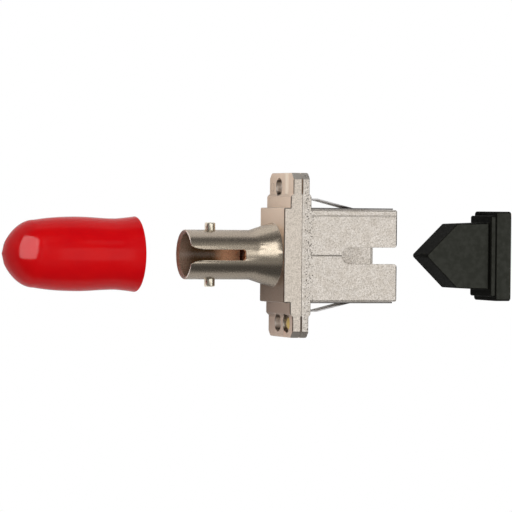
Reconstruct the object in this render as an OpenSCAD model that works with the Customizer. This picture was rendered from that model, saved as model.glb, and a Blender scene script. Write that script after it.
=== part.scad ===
// Hybrid fibre optic coupler: a round bayonet barrel on one side of a flange and a
// square push-pull socket on the other, with a dust cap and a dust plug pulled off.
// The light path runs along X. The bayonet side is at -X and the square socket at +X.
// Y runs along the flange from ear to ear, and +Z is the side that carries both keyways.
// The origin is on the light path, at the parting plane between the two halves.

/* [Flange] */
// Length of the flange from ear tip to ear tip
flange_len = 22; // [21.6:0.1:24]
// Depth of the flange, and of the body behind it
flange_depth = 9.3; // [9.1:0.1:10.4]
// Chamfer across each corner of the flange
flange_chamfer = 0.85; // [0.3:0.05:1.2]
// Thickness of the ears on the bayonet half
front_ear_t = 1.27; // [1.1:0.01:1.6]
// Thickness of the ears on the socket half
rear_ear_t = 1.06; // [0.8:0.01:1.4]
// Height of the pad above the ears on the bayonet half
front_pad_rise = 0.37; // [0.2:0.01:0.6]
// Height of the pad above the ears on the socket half
rear_pad_rise = 0.29; // [0.2:0.01:0.6]
// Distance from the tip of each ear to the foot of the pads
pad_setback = 2.85; // [2.5:0.05:4]
// Run of the sloped end of each pad
pad_slope = 0.35; // [0.1:0.05:0.6]
// Distance from the tip of each ear to its mounting hole
hole_setback = 1.9; // [1.7:0.05:2.1]
// Diameter of the mounting holes
hole_d = 2.4; // [2:0.1:2.6]
// Distance of the mounting holes behind the light path
hole_drop = 0.95; // [0:0.05:1]
// Width of the broken edge round each casting
edge_break = 0.12; // [0.05:0.01:0.2]

/* [Bayonet half] */
// Height of the raised block behind the barrel
block_h = 12.66; // [10:0.01:13]
// Height of the block's face above the ears
block_rise = 1.28; // [0.6:0.02:2]
// Outer diameter of the barrel
barrel_d = 6.62; // [6.4:0.02:7]
// Distance from the parting plane to the barrel's mouth
barrel_reach = 15.03; // [14:0.01:17]
// Bore of the barrel, where the connector's ferrule body goes
bore_d = 5.6; // [5.4:0.02:5.8]
// Depth of the barrel's bore
bore_depth = 9.08; // [8.6:0.02:9.6]
// Depth and width of the chamfer in the barrel's mouth
mouth_chamfer = 0.32; // [0.1:0.02:0.4]
// Diameter of the flare where it meets the block
flare_d = 8.7; // [7.6:0.1:9.2]
// Length of the flare
flare_len = 3.28; // [2:0.02:4]
// Width of the barrel's keyway
keyway_w = 1.45; // [1:0.05:1.8]
// Length of the barrel's keyway from the mouth
keyway_len = 7.66; // [6:0.02:8.2]
// Width of the keyway's flared mouth
keyway_mouth_w = 2.6; // [2:0.1:3]
// Length over which the keyway's mouth closes in
keyway_mouth_len = 1.9; // [1:0.05:2.4]
// Radius in the corners of the keyway's inner end
keyway_end_r = 0.35; // [0.1:0.05:0.45]
// Diameter of the bayonet lugs
lug_d = 1.42; // [1:0.02:1.6]
// Distance across the tips of the two lugs
lug_span = 8.56; // [7.6:0.02:8.6]
// Distance from the barrel's mouth to the lugs' centres
lug_setback = 3.66; // [2.6:0.02:5]
// Bore of the hole in the floor that lets the ferrule through
ferrule_hole_d = 2.9; // [2.85:0.05:3]
// Thickness of the floor that holds the sleeve back
floor_t = 0.7; // [0.5:0.05:1]
// Depth of the shallow flute along the front of each ear
flute_depth = 0.2; // [0.05:0.01:0.25]
// Radius of the flute
flute_r = 1.3; // [0.8:0.1:2]
// Distance of the flute in front of the light path
flute_offset = 2; // [1.8:0.1:2.6]

/* [Socket half] */
// Height of the socket's body along the flange, without its clip
body_h = 12.3; // [12:0.1:13]
// Distance from the parting plane to the socket's mouth
body_reach = 13.7; // [13.2:0.1:16]
// Height of the socket's opening
opening_h = 9.2; // [8.9:0.1:9.4]
// Depth of the socket's opening through the body
opening_depth = 7.4; // [7.2:0.1:7.6]
// Width of the chamfer round the inside of the mouth
opening_chamfer = 0.5; // [0.2:0.05:0.7]
// Length of the narrow mouth in front of the latch chamber
mouth_len = 4.4; // [3.6:0.1:5]
// Height of the chamber that the latch arms spread in
chamber_h = 10.6; // [10.2:0.1:11]
// Width of the key slot in the upper wall
key_slot_w = 2.22; // [2:0.02:2.6]
// Length of the key slot from the mouth to its round end
key_slot_len = 8; // [6:0.1:9]
// Radius on the two corners at the key slot's mouth
key_slot_r = 0.5; // [0.2:0.05:0.8]
// Chamfer on the long edges and the end of the body
body_break = 0.2; // [0.1:0.02:0.3]
// Width of the mould lines on the upper face
mould_line_w = 0.14; // [0.08:0.01:0.2]
// Depth of the mould lines
mould_line_depth = 0.08; // [0.04:0.01:0.12]
// Distance from the body's side to the long mould line
mould_line_inset = 0.84; // [0.8:0.02:2]

/* [Sleeve and latch insert] */
// Outer diameter of the split sleeve
sleeve_d = 3.2; // [3.1:0.05:3.3]
// Bore of the split sleeve, which grips the ferrules
sleeve_bore_d = 2.5; // [2.46:0.01:2.52]
// Width of the sleeve's slit
sleeve_slit_w = 0.4; // [0.2:0.05:0.6]
// Outer diameter of the tube that holds the sleeve
holder_d = 4.9; // [4.5:0.1:5.4]
// Distance from the parting plane to the tip of the holder tube
holder_reach = 4.4; // [4:0.05:4.5]
// Length of the lip that keeps the sleeve in its tube
holder_lip = 0.4; // [0.3:0.05:0.6]
// Thickness of the insert's base plate
insert_base_t = 1.5; // [1:0.05:1.8]
// Width of the ledge that traps the base plate in the casting
insert_ledge = 0.25; // [0.15:0.05:0.35]
// Distance from the parting plane to the tips of the latch arms
arm_reach = 7.5; // [6.8:0.1:7.8]
// Thickness of each latch arm
arm_t = 0.7; // [0.5:0.05:0.9]
// Width of each latch arm
arm_w = 3.6; // [3:0.1:4.2]
// Room behind each arm for it to spread into
arm_room = 0.3; // [0.2:0.05:0.4]
// Height of the hook at the tip of each arm
hook_h = 0.9; // [0.6:0.05:1]
// Length of each hook
hook_len = 1.1; // [0.8:0.05:1.5]

/* [Panel clip] */
// Thickness of the clip's spring sheet
clip_t = 0.2; // [0.15:0.01:0.3]
// Distance from the socket's mouth to the clip's end
clip_setback = 0.5; // [0.3:0.05:1.5]
// Distance from the pad to the front end of the clip
clip_gap = 0.2; // [0.1:0.05:0.5]
// Distance from the body's upper face to the top of the clip's sides
clip_drop = 0.45; // [0.3:0.05:1]
// Width of the spring tongue in each side of the clip
tongue_w = 2.6; // [2.2:0.1:5]
// Gap beside each tongue where it was cut free
tongue_slit = 0.4; // [0.2:0.05:0.6]
// Distance from the parting plane to the root of each tongue
tongue_root = 8.6; // [7:0.1:10]
// Distance from the parting plane to the bend of each tongue
tongue_bend = 3.45; // [3:0.05:5]
// Height of the tongue's flat end above the side of the body
tongue_lift = 1.45; // [0.8:0.05:1.6]
// Gap between the pad and the free end of each tongue
tongue_end_gap = 0.5; // [0.3:0.05:1]

/* [Rivets] */
// Diameter of the rivets' shanks
rivet_d = 1.2; // [1:0.05:1.3]
// Diameter of the rivets' heads
rivet_head_d = 1.64; // [1.5:0.02:1.8]
// Height of the rivets' domed heads
rivet_head_h = 0.34; // [0.2:0.02:0.38]
// Distance of the lower ear's rivet in front of the light path
lower_rivet_rise = 2.3; // [2.1:0.05:2.8]
// Distance of the upper ear's rivet behind the light path
upper_rivet_drop = 3.5; // [3.45:0.05:3.6]
// Diameter of the recess round the lower rivet's head
front_recess_d = 2.6; // [2:0.1:2.8]
// Depth of the recess round each rivet's head
recess_depth = 0.42; // [0.4:0.01:0.5]
// Diameter of the recess round the upper rivet's head
rear_recess_d = 1.9; // [1.8:0.05:2]

/* [Bayonet cap] */
// Distance from the parting plane to the cap's mouth, pulled off
cap_mouth_at = 21.78; // [16:0.01:30]
// Length of the cap
cap_len = 18.27; // [16.5:0.01:22]
// Wall of the cap at its throat
cap_wall = 0.34; // [0.3:0.01:0.8]
// Radius that the cap's belly adds to its throat
cap_belly_add = 0.2; // [0.05:0.01:0.4]
// Radius that the cap's mouth adds to its throat
cap_lip_add = 0.33; // [0.1:0.01:0.5]
// Radius that the cap's shoulder gives up from its belly
cap_shoulder_cut = 0.45; // [0.2:0.01:0.8]
// Distance from the cap's mouth to its throat
cap_throat_at = 3; // [2:0.1:4]
// Distance from the cap's mouth to its belly
cap_belly_at = 8.1; // [6:0.1:9]
// Length of the cap's domed nose
cap_nose_len = 4.3; // [3:0.1:5.5]
// Thickness of the cap's nose
cap_nose_t = 0.9; // [0.6:0.05:1.4]

/* [Socket plug] */
// Distance from the parting plane to the plug's point, pulled off
plug_tip_at = 18.8; // [15:0.01:28]
// Thickness of the plug's tongue
plug_tongue_t = 5.4; // [4.6:0.1:7]
// Length of the tongue's point, from its tip to its shoulders
plug_point_len = 4.52; // [4:0.02:4.8]
// Height that each side of the tongue gains from its shoulder to the step
plug_draft = 0.19; // [0.05:0.01:0.2]
// Length of the tongue behind its point
plug_tongue_len = 4.6; // [3.6:0.02:6]
// Radius on the plug's point and shoulders
plug_tip_r = 0.4; // [0.2:0.05:0.8]
// Thickness of the step that stops the plug
plug_step_t = 0.7; // [0.3:0.05:1]
// Height of the step
plug_step_h = 11; // [10:0.1:12]
// Height of the plug's grip
plug_grip_h = 12.2; // [11.4:0.1:13]
// Depth of the plug's grip
plug_grip_depth = 7.6; // [7:0.1:9]
// Thickness of the plug's grip
plug_grip_t = 2.22; // [1.5:0.02:3]
// Radius on the corners of the grip
plug_grip_r = 0.5; // [0.2:0.05:1]

/* [Clearances] */
// Gap round a pin or rivet that is pressed in
press_gap = 0.01; // [0.005:0.005:0.02]
// Gap round the floating sleeve
sleeve_gap = 0.08; // [0.05:0.01:0.1]
// Gap between the insert and the casting
insert_gap = 0.04; // [0.02:0.01:0.06]
// Gap between the clip and the casting
clip_fit = 0.02; // [0.01:0.01:0.05]
// Gap between the lugs and the cap's throat
cap_clear = 0.08; // [0.06:0.01:0.2]
// Gap between the root of the plug's tongue and the socket's opening
plug_gap = 0.04; // [0.02:0.01:0.2]

/* [Hidden] */
$fn = 72;

// Length by which a cutting solid runs past the face that it cuts
past = 0.5;
// Overlap that makes two pieces of one solid join
weld = 0.05;
// Distance that the root of each lug stays back from the bore
lug_cover = 0.1;
// Share of a rivet head's height where its dome rounds over
dome_share = 0.75;
// Steps in each smooth stretch of the cap's outline
cap_steps = 12;
// Steps in the curve of the keyway's mouth, and the exponent of that curve
mouth_steps = 8;
mouth_power = 2.6;
// Exponent that turns the cap's lip out
lip_power = 1.4;
// Share of the lip and of the shoulder that the inside of the cap follows
lip_share = 0.8;
shoulder_share = 0.6;
// Exponent that gives the cap's nose its blunt point
nose_power = 0.62;
// Exponent that gives the run from belly to shoulder its roundness
shoulder_power = 2.2;

nickel = [0.72, 0.69, 0.66];
brass = [0.83, 0.74, 0.55];
ceramic = [0.93, 0.93, 0.9];
spring_steel = [0.32, 0.32, 0.33];
ivory = [0.86, 0.84, 0.78];
vinyl_red = [0.85, 0.08, 0.09];
rubber_black = [0.1, 0.1, 0.11];

half_depth = flange_depth / 2;
body_side = body_h / 2;
front_pad_face = front_ear_t + front_pad_rise;
rear_pad_face = rear_ear_t + rear_pad_rise;
block_face = front_ear_t + block_rise;
flare_start = block_face + flare_len;
floor_face = barrel_reach - bore_depth;
sleeve_back = floor_face - floor_t;
sleeve_seat_r = sleeve_d / 2 + sleeve_gap;
holder_stop = holder_reach - holder_lip;
lug_at = barrel_reach - lug_setback;
lug_root = bore_d / 2 + lug_cover;
hole_at = flange_len / 2 - hole_setback;
pad_foot = flange_len / 2 - pad_setback;
arm_inner = chamber_h / 2 - arm_room - arm_t;
chamber_end = body_reach - mouth_len;
insert_half_h = chamber_h / 2 + insert_ledge;
insert_half_depth = opening_depth / 2 + insert_ledge;
key_slot_back = body_reach - key_slot_len;
clip_inner = body_side + clip_fit;
clip_outer = clip_inner + clip_t;
clip_base = half_depth + clip_fit;
clip_front = rear_pad_face + clip_gap;
clip_end = body_reach - clip_setback;
clip_top = half_depth - clip_drop;
tongue_outer = body_side + tongue_lift;
tongue_end = rear_pad_face + tongue_end_gap;
front_recess_floor = front_ear_t - recess_depth;
rear_recess_floor = rear_ear_t - recess_depth;
cap_inner = lug_span / 2 + cap_clear;
cap_throat_r = cap_inner + cap_wall;
cap_belly_r = cap_throat_r + cap_belly_add;
cap_shoulder_r = cap_belly_r - cap_shoulder_cut;
cap_lip_r = cap_throat_r + cap_lip_add;
cap_shoulder_at = cap_len - cap_nose_len;
plug_tongue_half = opening_h / 2 - plug_gap - plug_draft;
plug_shoulder_at = plug_tip_at + plug_point_len;
plug_step_at = plug_shoulder_at + plug_tongue_len;
plug_grip_at = plug_step_at + plug_step_t;

// A flat shape drawn in (Y, Z), carried along X from one place to another
module along_x(from, to) {
    translate([from, 0, 0])
        rotate([90, 0, 90])
            linear_extrude(to - from)
                children();
}

// A flat shape drawn in (X, Y), carried along Z from one place to another
module along_z(from, to) {
    translate([0, 0, from])
        linear_extrude(to - from)
            children();
}

// A flat shape drawn in (X, Z), carried along Y from one place to another
module along_y(from, to) {
    translate([0, to, 0])
        rotate([90, 0, 0])
            linear_extrude(to - from)
                children();
}

// A solid turned about the light path, from [distance along X, radius] points
module turned(points) {
    rotate([0, 90, 0])
        rotate_extrude()
            polygon([for (p = points) [p[1], p[0]]]);
}

// A cylinder along X between two places, at a point of the (Y, Z) plane
module rod_x(from, to, d, y = 0, z = 0) {
    translate([from, y, z])
        rotate([0, 90, 0])
            cylinder(h = to - from, d = d);
}

// A rectangle between two corners, with its own corners cut off
module cut_rect(low, high, cut) {
    polygon([
        [low[0] + cut, low[1]], [high[0] - cut, low[1]], [high[0], low[1] + cut],
        [high[0], high[1] - cut], [high[0] - cut, high[1]], [low[0] + cut, high[1]],
        [low[0], high[1] - cut], [low[0], low[1] + cut]
    ]);
}

// A bar along X, centred on the light path, with all twelve edges broken
module broken_bar(from, to, h, depth, cut) {
    intersection() {
        along_x(from, to)
            cut_rect([-h / 2, -depth / 2], [h / 2, depth / 2], cut);
        along_z(-depth / 2, depth / 2)
            cut_rect([from, -h / 2], [to, h / 2], cut);
        along_y(-h / 2, h / 2)
            cut_rect([from, -depth / 2], [to, depth / 2], cut);
    }
}

// One plate of the flange, its corners chamfered and its edges broken
module flange_plate(from, to) {
    intersection() {
        broken_bar(from, to, flange_len, flange_depth, edge_break);
        along_x(from, to)
            cut_rect([-flange_len / 2, -half_depth], [flange_len / 2, half_depth], flange_chamfer);
    }
}

// The raised pad on one face of the flange, sloped at both ends; side is -1 or 1
module flange_pad(side, ear, face) {
    foot = pad_foot;
    top = foot - pad_slope;
    intersection() {
        along_z(-half_depth, half_depth)
            polygon([
                [0, -foot], [side * ear, -foot], [side * face, -top],
                [side * face, top], [side * ear, foot], [0, foot]
            ]);
        broken_bar(-face, face, flange_len, flange_depth, edge_break);
    }
}

// Both mounting holes, through everything between two places
module mounting_holes(from, to) {
    for (end = [-1, 1])
        rod_x(from, to, hole_d, end * hole_at, -hole_drop);
}

// The holes of both rivets, through everything between two places
module rivet_holes(from, to) {
    rod_x(from, to, rivet_d + 2 * press_gap, -hole_at, lower_rivet_rise);
    rod_x(from, to, rivet_d + 2 * press_gap, hole_at, -upper_rivet_drop);
}

// Half width of the keyway at a share of its mouth, 0 at the rim and 1 where it is parallel
function keyway_half(share) =
    keyway_w / 2 + (keyway_mouth_w - keyway_w) / 2 * pow(1 - share, mouth_power);

// The open slot for the connector's key, with a trumpet mouth and rounded inner corners
module barrel_keyway() {
    end_at = -barrel_reach + keyway_len;
    shares = [for (i = [0:mouth_steps]) i / mouth_steps];
    rim = [for (k = shares) [-barrel_reach + k * keyway_mouth_len, keyway_half(k)]];
    side = concat(
        [[-barrel_reach - past, keyway_mouth_w / 2]], rim,
        [[end_at - keyway_end_r, keyway_w / 2]]
    );
    across = [for (i = [len(side) - 1:-1:0]) [side[i][0], -side[i][1]]];
    along_z(barrel_d / 4, barrel_d) {
        polygon(concat(side, across));
        translate([end_at - 2 * keyway_end_r, keyway_end_r - keyway_w / 2])
            square([2 * keyway_end_r, keyway_w - 2 * keyway_end_r]);
        for (end = [-1, 1])
            translate([end_at - keyway_end_r, end * (keyway_w / 2 - keyway_end_r)])
                circle(r = keyway_end_r);
    }
}

// The shallow flute that runs out to the tip of each ear
module ear_flutes() {
    for (end = [-1, 1])
        translate([-front_ear_t - flute_r + flute_depth, end * pad_foot, flute_offset])
            rotate([-90 * end, 0, 0])
                cylinder(h = flange_len / 2, r = flute_r);
}

// The die-cast half with the bayonet barrel
module bayonet_housing() {
    color(nickel)
        difference() {
            union() {
                flange_plate(-front_ear_t, 0);
                flange_pad(-1, front_ear_t, front_pad_face);
                broken_bar(-block_face, 0, block_h, flange_depth, edge_break);
                turned([
                    [-front_ear_t / 2, 0], [-barrel_reach, 0],
                    [-barrel_reach, barrel_d / 2 - edge_break],
                    [-barrel_reach + edge_break, barrel_d / 2],
                    [-flare_start, barrel_d / 2], [-block_face, flare_d / 2],
                    [-front_ear_t / 2, flare_d / 2]
                ]);
            }
            turned([
                [-barrel_reach - past, 0],
                [-barrel_reach - past, bore_d / 2 + mouth_chamfer],
                [-barrel_reach, bore_d / 2 + mouth_chamfer],
                [-barrel_reach + mouth_chamfer, bore_d / 2],
                [-floor_face, bore_d / 2], [-floor_face, 0]
            ]);
            rod_x(-floor_face - past, past, ferrule_hole_d);
            rod_x(-sleeve_back, past, 2 * sleeve_seat_r);
            barrel_keyway();
            for (side = [-1, 1])
                translate([-lug_at, 0, 0])
                    rotate([90 * side, 0, 0])
                        cylinder(h = barrel_d, d = lug_d + 2 * press_gap);
            mounting_holes(-front_pad_face - past, past);
            rivet_holes(-front_pad_face - past, past);
            rod_x(-front_pad_face - past, -front_recess_floor, front_recess_d,
                -hole_at, lower_rivet_rise);
            ear_flutes();
        }
}

// The fine lines that the mould leaves on the socket's upper face
module mould_lines() {
    top = half_depth - mould_line_depth;
    line_half = mould_line_w / 2;
    along_z(top, half_depth + past) {
        translate([rear_pad_face, -line_half])
            square([key_slot_back + past - rear_pad_face, mould_line_w]);
        translate([rear_pad_face, body_side - mould_line_inset - line_half])
            square([body_reach + past - rear_pad_face, mould_line_w]);
    }
}

// The slot for the connector's key, with a round inner end and rounded mouth corners
module key_slot() {
    end_at = key_slot_back + key_slot_w / 2;
    half_w = key_slot_w / 2;
    along_z(opening_depth / 4, flange_depth) {
        translate([end_at, 0])
            circle(d = key_slot_w);
        translate([end_at, -half_w])
            square([body_reach - end_at + past, key_slot_w]);
        for (side = [-1, 1])
            difference() {
                translate([body_reach - key_slot_r, side * half_w - (side < 0 ? key_slot_r : 0)])
                    square([key_slot_r + past, key_slot_r]);
                translate([body_reach - key_slot_r, side * (half_w + key_slot_r)])
                    circle(r = key_slot_r);
            }
    }
}

// The hollow of the square socket: a seat for the insert, the latch chamber and the mouth
module socket_hollow() {
    half_h = opening_h / 2;
    half_w = opening_depth / 2;
    wide = opening_chamfer + past;
    broken_bar(-past, insert_base_t, 2 * insert_half_h, 2 * insert_half_depth, 0);
    along_x(0, chamber_end)
        square([chamber_h, opening_depth], center = true);
    along_x(chamber_end - past, body_reach + past)
        square([opening_h, opening_depth], center = true);
    intersection() {
        along_z(-flange_depth, flange_depth)
            polygon([
                [body_reach - opening_chamfer, -half_h], [body_reach + past, -half_h - wide],
                [body_reach + past, half_h + wide], [body_reach - opening_chamfer, half_h]
            ]);
        along_y(-body_h, body_h)
            polygon([
                [body_reach - opening_chamfer, -half_w], [body_reach + past, -half_w - wide],
                [body_reach + past, half_w + wide], [body_reach - opening_chamfer, half_w]
            ]);
    }
}

// The die-cast half with the square socket
module socket_housing() {
    color(nickel)
        difference() {
            union() {
                flange_plate(0, rear_ear_t);
                flange_pad(1, rear_ear_t, rear_pad_face);
                intersection() {
                    broken_bar(-rear_ear_t, body_reach, body_h, flange_depth, body_break);
                    along_x(0, body_reach)
                        square([body_h, flange_depth], center = true);
                }
            }
            socket_hollow();
            key_slot();
            mould_lines();
            mounting_holes(-past, rear_pad_face + past);
            rivet_holes(-past, rear_pad_face + past);
            rod_x(rear_recess_floor, rear_pad_face + past, rear_recess_d, hole_at, -upper_rivet_drop);
        }
}

// One lug pressed into the barrel's wall; side is -1 or 1
module bayonet_lug(side) {
    color(brass)
        translate([-lug_at, 0, 0])
            rotate([-90 * side, 0, 0]) {
                translate([0, 0, lug_root])
                    cylinder(h = lug_span / 2 - edge_break - lug_root, d = lug_d);
                translate([0, 0, lug_span / 2 - edge_break])
                    cylinder(h = edge_break, r1 = lug_d / 2, r2 = lug_d / 2 - edge_break);
            }
}

// The split ceramic sleeve that lines the two ferrules up
module alignment_sleeve() {
    color(ceramic)
        difference() {
            rod_x(-sleeve_back + sleeve_gap, holder_stop - sleeve_gap, sleeve_d);
            rod_x(-sleeve_back - past, holder_stop + past, sleeve_bore_d);
            along_z(0, sleeve_d)
                translate([-sleeve_back - past, -sleeve_slit_w / 2])
                    square([sleeve_back + holder_stop + 2 * past, sleeve_slit_w]);
        }
}

// One latch arm in (X, Y), with its ramped hook turned in at the tip
module latch_arm() {
    hook_face = arm_inner - hook_h;
    polygon([
        [insert_base_t / 2, arm_inner], [arm_reach - hook_len, arm_inner],
        [arm_reach - hook_len, hook_face], [arm_reach - hook_len / 2, hook_face],
        [arm_reach, arm_inner - hook_h / 3], [arm_reach, arm_inner + arm_t],
        [insert_base_t / 2, arm_inner + arm_t]
    ]);
}

// The moulded insert: a base plate, the sleeve's tube and two latch arms
module latch_insert() {
    color(ivory)
        difference() {
            union() {
                broken_bar(insert_gap, insert_base_t - insert_gap, 2 * (insert_half_h - insert_gap),
                    2 * (insert_half_depth - insert_gap), edge_break);
                rod_x(insert_base_t / 2, holder_reach, holder_d);
                along_z(-arm_w / 2, arm_w / 2) {
                    latch_arm();
                    mirror([0, 1])
                        latch_arm();
                }
            }
            rod_x(-past, holder_stop, 2 * sleeve_seat_r);
            rod_x(-past, holder_reach + past, ferrule_hole_d);
        }
}

// One bent spring tongue in (X, Y), from its root to its flat free end
module clip_tongue() {
    polygon([
        [tongue_root, clip_inner], [tongue_root, clip_outer],
        [tongue_bend, tongue_outer], [tongue_end, tongue_outer],
        [tongue_end, tongue_outer - clip_t], [tongue_bend, tongue_outer - clip_t],
        [tongue_root - clip_t, clip_inner]
    ]);
}

// The spring clip: a base under the body, two sides and the tongue cut from each side
module panel_clip() {
    window = tongue_w + 2 * tongue_slit;
    color(spring_steel) {
        difference() {
            translate([clip_front, -clip_outer, -clip_base - clip_t])
                cube([clip_end - clip_front, 2 * clip_outer, clip_top + clip_base + clip_t]);
            translate([clip_front - past, -clip_inner, -clip_base])
                cube([clip_end - clip_front + 2 * past, 2 * clip_inner, flange_depth + past]);
            translate([clip_front - past, -body_h, -window / 2])
                cube([tongue_root - clip_front + past, 2 * body_h, window]);
        }
        along_z(-tongue_w / 2, tongue_w / 2)
            for (side = [0, 1])
                mirror([0, side])
                    union() {
                        clip_tongue();
                        translate([tongue_root - weld, clip_inner])
                            square([past, clip_t]);
                    }
    }
}

// A rivet along X: a flush shank and a domed head; facing is -1 or 1 along X
module rivet(head_at, flush_at, facing) {
    color(brass)
        mirror([facing < 0 ? 1 : 0, 0, 0])
            turned([
                [-flush_at, 0], [-flush_at, rivet_d / 2],
                [head_at, rivet_d / 2], [head_at, rivet_head_d / 2],
                [head_at + rivet_head_h / 3, rivet_head_d / 2],
                [head_at + rivet_head_h * dome_share, rivet_head_d / 3],
                [head_at + rivet_head_h, rivet_head_d / 8], [head_at + rivet_head_h, 0]
            ]);
}

// The rivet whose head shows in the lower ear on the bayonet side
module lower_rivet() {
    translate([0, -hole_at, lower_rivet_rise])
        rivet(front_recess_floor, rear_ear_t, -1);
}

// The rivet of the upper ear, put in from the socket side
module upper_rivet() {
    translate([0, hole_at, -upper_rivet_drop])
        rivet(rear_recess_floor, front_ear_t, 1);
}

// Outer radius of the cap at a distance from its mouth
function cap_outer(d) =
    d < cap_throat_at ? cap_throat_r + cap_lip_add * pow(1 - d / cap_throat_at, lip_power)
    : d < cap_belly_at ? cap_throat_r
        + cap_belly_add * (1 - cos(180 * (d - cap_throat_at) / (cap_belly_at - cap_throat_at))) / 2
    : d < cap_shoulder_at ? cap_belly_r
        - cap_shoulder_cut * pow((d - cap_belly_at) / (cap_shoulder_at - cap_belly_at), shoulder_power)
    : cap_shoulder_r * pow(sin(90 * max(0, cap_len - d) / cap_nose_len), nose_power);

// Inner radius of the cap at a distance from its mouth
function cap_hollow(d) =
    d < cap_throat_at ? cap_inner + cap_lip_add * lip_share * pow(1 - d / cap_throat_at, lip_power)
    : d < cap_shoulder_at ? cap_inner - cap_shoulder_cut * shoulder_share
        * pow(max(0, d - cap_belly_at) / (cap_shoulder_at - cap_belly_at), shoulder_power)
    : (cap_inner - cap_shoulder_cut * shoulder_share)
        * pow(sin(90 * max(0, cap_len - cap_nose_t - d) / (cap_nose_len - cap_nose_t)), nose_power);

// The soft vinyl cap, a dipped shell that pushes over the barrel and its lugs
module bayonet_dust_cap() {
    ends = [0, cap_throat_at, cap_belly_at, cap_shoulder_at, cap_len];
    hollow_ends = [0, cap_throat_at, cap_belly_at, cap_shoulder_at, cap_len - cap_nose_t];
    outer = [for (k = [0:3]) for (i = [0:cap_steps - 1])
        ends[k] + (ends[k + 1] - ends[k]) * i / cap_steps];
    inner = [for (k = [0:3]) for (i = [0:cap_steps - 1])
        hollow_ends[k] + (hollow_ends[k + 1] - hollow_ends[k]) * i / cap_steps];
    color(vinyl_red)
        difference() {
            turned(concat(
                [[-cap_mouth_at, 0]],
                [for (d = outer) [-cap_mouth_at - d, cap_outer(d)]],
                [[-cap_mouth_at - cap_len, 0]]
            ));
            turned(concat(
                [[-cap_mouth_at + past, 0], [-cap_mouth_at + past, cap_hollow(0)]],
                [for (d = inner) [-cap_mouth_at - d, cap_hollow(d)]],
                [[-cap_mouth_at - cap_len + cap_nose_t, 0]]
            ));
        }
}

// The tongue's outline in (X, Y): a straight stretch and a point with rounded corners
module plug_outline() {
    inset = plug_tongue_half - plug_tip_r;
    slope = atan2(plug_tongue_half, plug_point_len);
    corner_at = plug_tip_at + (plug_tip_r + inset * cos(slope)) / sin(slope);
    corners = [
        [plug_tip_at + plug_tip_r / sin(slope), 0],
        [corner_at, inset],
        [plug_step_at, inset + plug_draft],
        [plug_step_at + past, inset + plug_draft],
        [plug_step_at + past, -inset - plug_draft],
        [plug_step_at, -inset - plug_draft],
        [corner_at, -inset]
    ];
    offset(r = plug_tip_r)
        polygon(corners);
}

// The rubbery plug: a pointed tongue, a stop step and a grip plate
module socket_dust_plug() {
    color(rubber_black) {
        intersection() {
            along_z(-plug_tongue_t / 2, plug_tongue_t / 2)
                plug_outline();
            translate([plug_tip_at - past, -plug_step_h / 2, -plug_tongue_t / 2])
                cube([plug_step_at + plug_step_t / 2 - plug_tip_at + past, plug_step_h, plug_tongue_t]);
        }
        broken_bar(plug_step_at, plug_grip_at + plug_step_t, plug_step_h, plug_grip_depth
            - (plug_grip_h - plug_step_h) / 2, edge_break);
        along_x(plug_grip_at, plug_grip_at + plug_grip_t)
            offset(r = plug_grip_r)
                square([plug_grip_h - 2 * plug_grip_r, plug_grip_depth - 2 * plug_grip_r], center = true);
    }
}

bayonet_housing();
socket_housing();
bayonet_lug(1);  // upper_bayonet_lug
bayonet_lug(-1);  // lower_bayonet_lug
alignment_sleeve();
latch_insert();
panel_clip();
upper_rivet();
lower_rivet();
bayonet_dust_cap();
socket_dust_plug();
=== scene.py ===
"""Dresses the packed fibre optic coupler, its dust cap and its dust plug for their picture.

The castings, the fasteners, the spring clip, the optic core and the plug are softened copies of
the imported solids. The dipped vinyl cap is turned afresh from its own profile. All lengths are in
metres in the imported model's frame, apart from those whose names end in _mm: the light path is X,
the ears lie along Y, and the side with both keyways faces +Z, towards the camera.
"""

import logging
import math
from dataclasses import dataclass
from enum import Enum
from typing import Union

import bmesh
import bpy
import numpy as np
from mathutils import Matrix, Quaternion, Vector

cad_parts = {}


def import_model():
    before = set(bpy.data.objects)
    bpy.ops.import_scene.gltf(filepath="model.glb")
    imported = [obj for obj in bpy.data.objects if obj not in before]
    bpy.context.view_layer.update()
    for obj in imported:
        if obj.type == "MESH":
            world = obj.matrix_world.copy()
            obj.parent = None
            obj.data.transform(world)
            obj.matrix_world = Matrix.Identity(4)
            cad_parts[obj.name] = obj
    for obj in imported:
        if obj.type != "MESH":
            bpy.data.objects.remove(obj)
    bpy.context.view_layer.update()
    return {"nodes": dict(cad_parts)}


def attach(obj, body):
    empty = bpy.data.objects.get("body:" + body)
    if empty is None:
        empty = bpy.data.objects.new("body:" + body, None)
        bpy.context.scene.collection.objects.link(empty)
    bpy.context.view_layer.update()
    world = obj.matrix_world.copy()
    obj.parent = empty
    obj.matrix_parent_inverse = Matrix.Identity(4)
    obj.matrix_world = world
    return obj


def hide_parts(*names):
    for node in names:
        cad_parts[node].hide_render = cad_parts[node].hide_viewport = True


Colour = tuple[float, float, float]
Point = tuple[float, float, float]
Span = tuple[float, float]
Socket = bpy.types.NodeSocket
Value = Union[Socket, float]
Shade = Union[Socket, Colour]

LOG = logging.getLogger("coupler")
MM = 0.001
RISE: Span = (0.0, 1.0)
FALL: Span = (1.0, 0.0)
CLOUD_BAND: Span = (0.35, 0.7)
GRAIN_BAND: Span = (0.3, 0.7)
WHITE: Colour = (1.0, 1.0, 1.0)

# The places of a Mix node's two colour inputs and of its colour output, once it mixes colours.
MIX_FIRST = 6
MIX_SECOND = 7
MIX_COLOUR = 2


class Body(Enum):
    """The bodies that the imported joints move."""

    COUPLER = "coupler"
    DUST_CAP = "dust_cap"
    DUST_PLUG = "dust_plug"


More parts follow.
